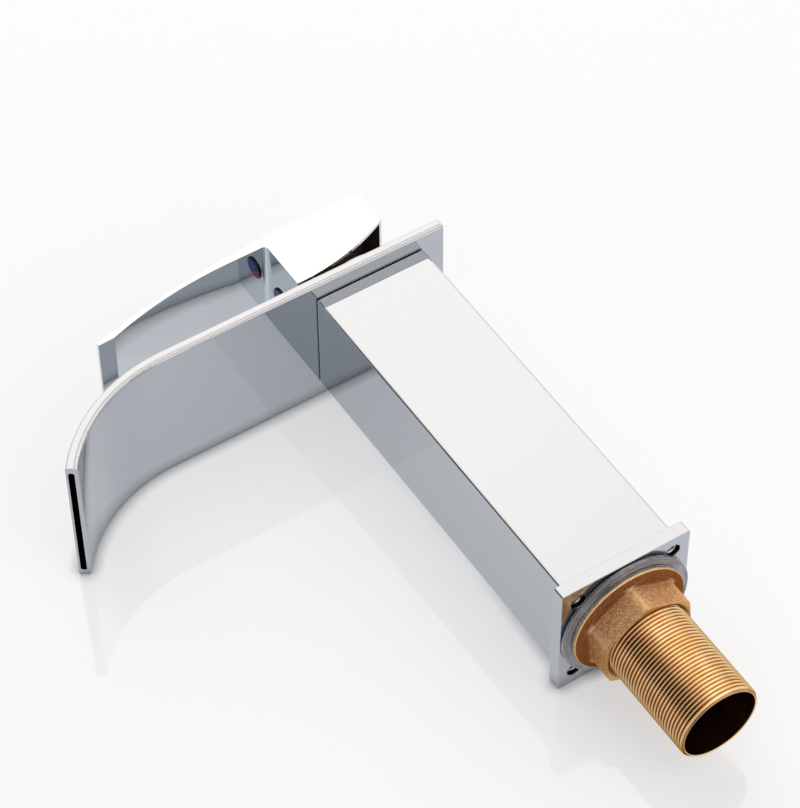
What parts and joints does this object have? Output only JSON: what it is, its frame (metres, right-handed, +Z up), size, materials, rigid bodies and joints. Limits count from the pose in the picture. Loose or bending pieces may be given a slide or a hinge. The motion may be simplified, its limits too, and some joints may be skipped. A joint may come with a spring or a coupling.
{
  "type": "waterfall basin faucet",
  "caption": "Single-lever basin mixer with a square column, a wide flat spout bent down to a slot outlet, a thin curved lever and a threaded mounting shank.",
  "frame": {"origin": "centre of the base flange's underside, on the plane of the deck", "axes": "+Z up the column, -Y towards the spout's mouth, +X to the right as seen from the spout's side"},
  "size_m": [0.06, 0.1723, 0.257],
  "materials": {
    "chrome_body": "bright plated, polished",
    "chrome_flange": "bright plated, polished",
    "chrome_spout": "bright plated, polished",
    "chrome_handle": "bright plated, polished",
    "screw_steel": "stainless, turned",
    "shank_brass": "machined, bare",
    "nut_brass": "cast, bare, sand-cast grain",
    "inner_brass": "machined, bare",
    "silicone": "translucent blue-grey silicone, glossy",
    "gasket_rubber": "black, matt",
    "seal_rubber": "black, satin",
    "cartridge_plastic": "ivory, moulded",
    "white_plastic": "white, moulded",
    "alumina": "lapped",
    "index_plastic": "blue half and red half, glossy"
  },
  "bodies": {
    "faucet_body": {"body_column": "chrome_body", "base_flange": "chrome_flange", "flange_screws": "screw_steel", "shank": "shank_brass", "spout_shell": "chrome_spout", "spout_floor": "chrome_spout", "spout_gasket": "gasket_rubber", "collar_seal": "seal_rubber", "bonnet": "chrome_body", "retaining_nut": "inner_brass", "cartridge_housing": "cartridge_plastic", "cartridge_base": "white_plastic", "port_seals": "seal_rubber", "disc_seals": "seal_rubber", "fixed_disc": "alumina"},
    "carrier": {"turning_carrier": "cartridge_plastic", "pivot_pin": "screw_steel"},
    "lever": {"spindle": "inner_brass", "lever_handle": "chrome_handle", "set_screw": "screw_steel", "index_plug": "index_plastic"},
    "disc": {"moving_disc": "alumina", "disc_coupler": "white_plastic"},
    "ring": {"seal_ring": "silicone"},
    "nut": {"mounting_nut": "nut_brass"}
  },
  "joints": [
    {"name": "temperature_turn", "type": "hinge", "parent": "faucet_body", "child": "carrier", "pos_m": [0, 0, 0.163], "axis": [0, 0, 1], "range_deg": [-45, 45]},
    {"name": "lever_lift", "type": "hinge", "parent": "carrier", "child": "lever", "pos_m": [0, 0, 0.163], "axis": [-1, 0, 0], "range_deg": [0, 25]},
    {"name": "disc_slide", "type": "slide", "parent": "carrier", "child": "disc", "axis": [0, -1, 0], "range_m": [0, 0.0026]},
    {"name": "nut_travel", "type": "slide", "parent": "faucet_body", "child": "ring", "axis": [0, 0, -1], "range_m": [0, 0.035]},
    {"name": "nut_turn", "type": "hinge", "parent": "ring", "child": "nut", "pos_m": [0, 0, -0.01], "axis": [0, 0, -1], "range_deg": [0, 8400.5]}
  ],
  "couplings": [
    {"joint": "disc_slide", "follows": "lever_lift", "m_per_rad": 0.00586},
    {"joint": "nut_turn", "follows": "nut_travel", "rad_per_m": 4188.8}
  ]
}
